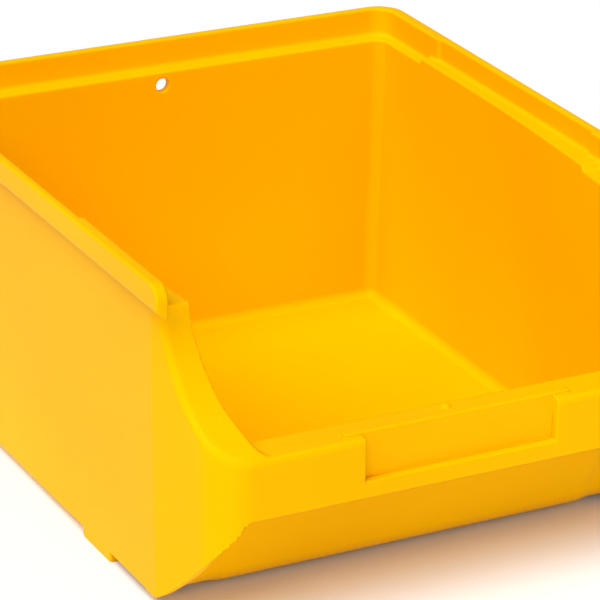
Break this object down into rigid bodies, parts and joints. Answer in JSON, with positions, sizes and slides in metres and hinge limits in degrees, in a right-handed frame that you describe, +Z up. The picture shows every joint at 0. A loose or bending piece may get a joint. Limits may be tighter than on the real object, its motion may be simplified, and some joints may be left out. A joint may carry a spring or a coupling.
{
  "type": "stackable storage bin",
  "caption": "Open-fronted stackable storage bin with a raised stacking rim, a low front lip with a label recess, a sloped hopper front and stacking lugs under the side walls.",
  "frame": {"origin": "centre of the bounding box's base, on the surface that the lugs stand on", "axes": "+X to the bin's right seen from its open front, +Y towards the rear wall, +Z up; the open front faces -Y"},
  "size_m": [0.137, 0.16, 0.082],
  "materials": {
    "bin_plastic": "smooth semi-gloss moulded polypropylene, golden yellow"
  },
  "bodies": {
    "root": {"floor_panel": "bin_plastic", "rear_wall": "bin_plastic", "left_side_wall": "bin_plastic", "right_side_wall": "bin_plastic", "hopper_front_wall": "bin_plastic", "left_hopper_side": "bin_plastic", "right_hopper_side": "bin_plastic", "left_cheek": "bin_plastic", "right_cheek": "bin_plastic", "left_mouth_flange": "bin_plastic", "right_mouth_flange": "bin_plastic", "lip_flange": "bin_plastic", "front_panel": "bin_plastic", "label_panel": "bin_plastic", "rear_rim": "bin_plastic", "left_rim": "bin_plastic", "right_rim": "bin_plastic", "left_front_stacking_lug": "bin_plastic", "right_front_stacking_lug": "bin_plastic", "left_rear_stacking_lug": "bin_plastic", "right_rear_stacking_lug": "bin_plastic"}
  },
  "joints": []
}
